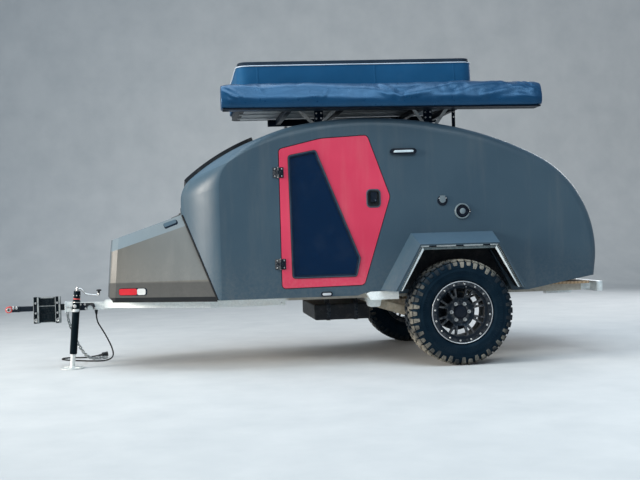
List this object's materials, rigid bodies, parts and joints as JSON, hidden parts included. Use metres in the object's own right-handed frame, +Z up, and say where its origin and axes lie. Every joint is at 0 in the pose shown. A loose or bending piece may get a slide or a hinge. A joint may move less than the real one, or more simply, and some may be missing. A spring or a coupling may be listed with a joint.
{
  "type": "teardrop camping trailer",
  "caption": "Single-axle teardrop camping trailer with slanted side doors, lifting nose lid and rear hatch, roof tent and awning bag on a rack, parked on its wheels and tongue jack.",
  "frame": {"origin": "middle of the whole trailer's length and width, on the ground under the wheels and the jack foot", "axes": "+X towards the rear hatch, so the hitch points to -X; +Z up; +Y the right-hand side when facing the direction of travel"},
  "size_m": [4.9, 2.15, 2.4567],
  "materials": {
    "body_grey": "satin slate grey gel coat",
    "door_red": "satin crimson paint",
    "dark_glass": "tinted acrylic, nearly black",
    "window_grey": "grey moulded frame",
    "black_plastic": "grained black plastic",
    "gloss_black": "smooth black",
    "black_steel": "satin black powder coat",
    "galvanised": "hot-dip galvanised steel",
    "bright_steel": "zinc-plated steel",
    "tyre_rubber": "mud-terrain tyre rubber",
    "seal_rubber": "black sponge rubber",
    "black_aluminium": "black anodised aluminium",
    "plywood": "varnished birch plywood",
    "mattress_cloth": "woven mattress cover over foam",
    "cover_fabric": "coated navy-black canvas",
    "red_lens": "red lamp lens",
    "solar": "dark solar glass"
  },
  "bodies": {
    "trailer": {"arch_guards": "galvanised", "awning_bag": "cover_fabric", "awning_brackets": "black_aluminium", "cabin_floor": "plywood", "cabin_shell": "body_grey", "cable": "seal_rubber", "cable_ends": "black_plastic", "coil_springs": "black_steel", "cross_members": "galvanised", "drawbar_legs": "galvanised", "frame_rails": "galvanised", "galley_bulkhead": "plywood", "galley_cabinet": "plywood", "hinge_leaves": "black_steel", "hitch_coupler": "black_steel", "hitch_drawbar": "black_steel", "jack_bracket": "black_steel", "mattress": "mattress_cloth", "nose_tray": "black_steel", "rack_crossbars": "black_aluminium", "rack_towers": "black_aluminium", "rear_bumper": "galvanised", "roof_rails": "black_aluminium", "safety_chain": "galvanised", "shock_absorbers": "black_steel", "side_lamps": "gloss_black", "side_sockets": "black_plastic", "skylight_frame": "black_plastic", "skylight_glass": "dark_glass", "solar_panel": "solar", "suspension_mounts": "galvanised", "tail_lights": "red_lens", "tent_cover": "cover_fabric", "tent_shells": "gloss_black", "tongue_tube": "galvanised", "trailing_arms": "galvanised", "water_tank": "black_plastic", "wheel_flares": "body_grey"},
    "wheel_left": {"tyre_left": "tyre_rubber", "rim_left": "black_steel", "brake_drum_left": "black_steel"},
    "wheel_right": {"tyre_right": "tyre_rubber", "rim_right": "black_steel", "brake_drum_right": "black_steel"},
    "door_left_body": {"door_left": "door_red", "door_left_frame": "window_grey", "door_left_glass": "dark_glass", "door_left_handle": "black_plastic"},
    "door_right_body": {"door_right": "door_red", "door_right_frame": "window_grey", "door_right_glass": "dark_glass", "door_right_handle": "black_plastic"},
    "nose_body": {"nose_lid": "body_grey", "nose_seal": "seal_rubber"},
    "hatch_body": {"rear_hatch": "body_grey", "hatch_handle": "black_plastic"},
    "jack_body": {"jack_tube": "black_steel", "jack_crank": "bright_steel"},
    "jack_leg_body": {"jack_leg": "bright_steel"}
  },
  "joints": [
    {"name": "wheel_left_spin", "type": "hinge", "parent": "trailer", "child": "wheel_left", "pos_m": [1.15, -0.9325, 0.412], "axis": [0, 1, 0], "continuous": true},
    {"name": "wheel_right_spin", "type": "hinge", "parent": "trailer", "child": "wheel_right", "pos_m": [1.15, 0.9325, 0.412], "axis": [0, 1, 0], "continuous": true},
    {"name": "door_left_hinge", "type": "hinge", "parent": "trailer", "child": "door_left_body", "pos_m": [-0.23, -0.822, 1.18], "axis": [0, 0, -1], "range_deg": [0, 95]},
    {"name": "door_right_hinge", "type": "hinge", "parent": "trailer", "child": "door_right_body", "pos_m": [-0.23, 0.822, 1.18], "axis": [0, 0, 1], "range_deg": [0, 95]},
    {"name": "nose_lid_hinge", "type": "hinge", "parent": "trailer", "child": "nose_body", "pos_m": [-1, 0, 1.243], "axis": [0, 1, 0], "range_deg": [0, 60]},
    {"name": "rear_hatch_hinge", "type": "hinge", "parent": "trailer", "child": "hatch_body", "pos_m": [1.648, 0, 1.766], "axis": [0, -1, 0], "range_deg": [0, 75]},
    {"name": "jack_swivel", "type": "hinge", "parent": "trailer", "child": "jack_body", "pos_m": [-1.871, -0.14, 0.49], "axis": [0, 1, 0], "range_deg": [0, 90]},
    {"name": "jack_leg_slide", "type": "slide", "parent": "jack_body", "child": "jack_leg_body", "axis": [0.0889, 0, 0.996], "range_m": [-0.18, 0.1]}
  ]
}
